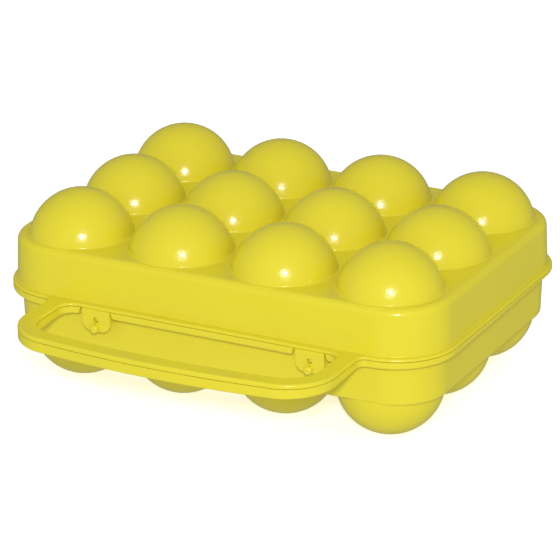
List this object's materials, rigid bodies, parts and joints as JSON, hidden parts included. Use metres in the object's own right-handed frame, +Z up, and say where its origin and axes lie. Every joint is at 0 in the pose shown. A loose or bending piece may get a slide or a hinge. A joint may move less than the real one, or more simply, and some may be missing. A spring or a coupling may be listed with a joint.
{
  "type": "egg holder",
  "caption": "Hinged egg holder in glossy lemon plastic: a tray of round cups, a matching domed lid, a carrying loop in two halves and snap latches.",
  "frame": {"origin": "centre of the holder's bounding box, on the plane of its cup feet", "axes": "+X along the long side, +Y from the carrying loop to the hinges, +Z up through the lid"},
  "size_m": [0.2124, 0.2036, 0.0849],
  "materials": {
    "base_plastic": "gloss",
    "lid_plastic": "gloss",
    "latch_plastic": "gloss"
  },
  "bodies": {
    "base": {"base": "base_plastic"},
    "lid": {"lid": "lid_plastic"},
    "latch_left": {"latch_left": "latch_plastic"},
    "latch_right": {"latch_right": "latch_plastic"}
  },
  "joints": [
    {"name": "lid_hinge", "type": "hinge", "parent": "base", "child": "lid", "pos_m": [0, 0.0988, 0.04316], "axis": [-1, 0, 0], "range_deg": [0, 180]},
    {"name": "latch_left_flex", "type": "hinge", "parent": "lid", "child": "latch_left", "pos_m": [-0.0517, -0.0549, 0.04201], "axis": [-1, 0, 0], "range_deg": [0, 25], "stiffness_Nm_per_rad": 0.002},
    {"name": "latch_right_flex", "type": "hinge", "parent": "lid", "child": "latch_right", "pos_m": [0.0517, -0.0549, 0.04201], "axis": [-1, 0, 0], "range_deg": [0, 25], "stiffness_Nm_per_rad": 0.002}
  ]
}
